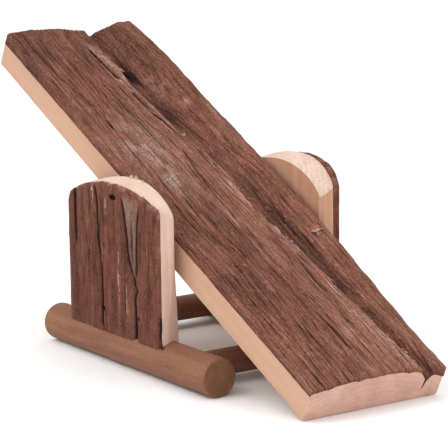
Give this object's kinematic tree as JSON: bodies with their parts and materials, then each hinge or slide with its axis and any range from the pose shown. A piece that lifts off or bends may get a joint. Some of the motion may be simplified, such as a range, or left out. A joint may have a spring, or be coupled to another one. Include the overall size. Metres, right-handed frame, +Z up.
{
  "type": "small-animal seesaw",
  "caption": "Small-animal seesaw: a bark-topped board rocks on nail pivots between bark-faced plates that stand on round foot rails joined by crossbars.",
  "frame": {"origin": "on the floor, under the middle of the outline of the seesaw at rest, seen from above", "axes": "+X runs along the board towards its lowered front end, +Y runs along the pivot to the left side, +Z is up"},
  "size_m": [0.2038, 0.0802, 0.1132],
  "materials": {
    "board_wood": "sawn, unfinished, pale tan with fine saw marks",
    "board_bark": "rough natural bark, dull, fissured along its length",
    "plate_wood": "sawn and sanded, unfinished, pale pinkish tan",
    "plate_bark": "natural bark, dull, with upright cracks",
    "rail_wood": "smooth turned branch wood, matt, warm brown",
    "crossbar_wood": "smooth turned branch wood, matt, dark brown",
    "nail_steel": "dull bare steel"
  },
  "bodies": {
    "base": {"right_plate": "plate_wood", "left_plate": "plate_wood", "right_plate_bark": "plate_bark", "left_plate_bark": "plate_bark", "right_rail": "rail_wood", "left_rail": "rail_wood", "front_crossbar": "crossbar_wood", "rear_crossbar": "crossbar_wood", "right_plate_nails": "nail_steel", "left_plate_nails": "nail_steel"},
    "rocker": {"board": "board_wood", "board_bark": "board_bark", "right_pivot_nail": "nail_steel", "left_pivot_nail": "nail_steel"}
  },
  "joints": [
    {"name": "board_rock", "type": "hinge", "parent": "base", "child": "rocker", "pos_m": [-0.00298, 0, 0.0609], "axis": [0, 1, 0], "range_deg": [-56.12, 0]}
  ]
}
